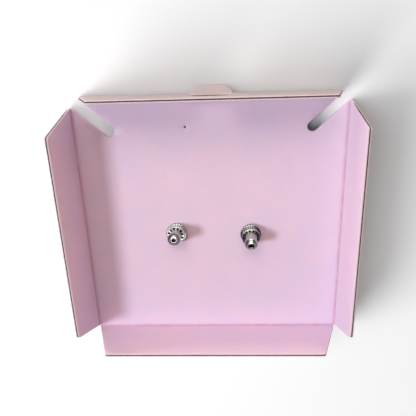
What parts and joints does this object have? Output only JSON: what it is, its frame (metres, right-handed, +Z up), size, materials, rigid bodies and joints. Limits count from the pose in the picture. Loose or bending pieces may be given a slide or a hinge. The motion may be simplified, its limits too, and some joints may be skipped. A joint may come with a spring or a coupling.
{
  "type": "pair of stud earrings in a folded card tray",
  "caption": "Two round halo stud earrings with bullet clutches, standing face down in a shallow folded tray of pink card with slotted corners and a thumb flap.",
  "frame": {"origin": "centre of the underside of the tray's platform, on the surface that it stands on", "axes": "+Z up, +X to the right of the tray, +Y to the tray's back, where the wall has the thumb flap"},
  "size_m": [0.0953, 0.0916, 0.0188],
  "materials": {
    "pink_card": "matt lilac pink card with a brown core, greyer outside",
    "polished_silver": "polished silver",
    "clear_crystal": "clear cut crystal"
  },
  "bodies": {
    "tray_with_studs": {"card_tray": "pink_card", "left_setting": "polished_silver", "left_centre_stone": "clear_crystal", "right_setting": "polished_silver", "right_centre_stone": "clear_crystal", "left_halo_stone_01": "clear_crystal", "left_halo_stone_02": "clear_crystal", "left_halo_stone_03": "clear_crystal", "left_halo_stone_04": "clear_crystal", "left_halo_stone_05": "clear_crystal", "left_halo_stone_06": "clear_crystal", "left_halo_stone_07": "clear_crystal", "left_halo_stone_08": "clear_crystal", "left_halo_stone_09": "clear_crystal", "left_halo_stone_10": "clear_crystal", "left_halo_stone_11": "clear_crystal", "left_halo_stone_12": "clear_crystal", "right_halo_stone_01": "clear_crystal", "right_halo_stone_02": "clear_crystal", "right_halo_stone_03": "clear_crystal", "right_halo_stone_04": "clear_crystal", "right_halo_stone_05": "clear_crystal", "right_halo_stone_06": "clear_crystal", "right_halo_stone_07": "clear_crystal", "right_halo_stone_08": "clear_crystal", "right_halo_stone_09": "clear_crystal", "right_halo_stone_10": "clear_crystal", "right_halo_stone_11": "clear_crystal", "right_halo_stone_12": "clear_crystal"},
    "left_clutch_body": {"left_clutch": "polished_silver"},
    "right_clutch_body": {"right_clutch": "polished_silver"}
  },
  "joints": [
    {"name": "left_clutch_slide", "type": "slide", "parent": "tray_with_studs", "child": "left_clutch_body", "axis": [0, 0.1888, 0.982], "range_m": [0, 0.006]},
    {"name": "right_clutch_slide", "type": "slide", "parent": "tray_with_studs", "child": "right_clutch_body", "axis": [0, 0, 1], "range_m": [0, 0.006]}
  ]
}
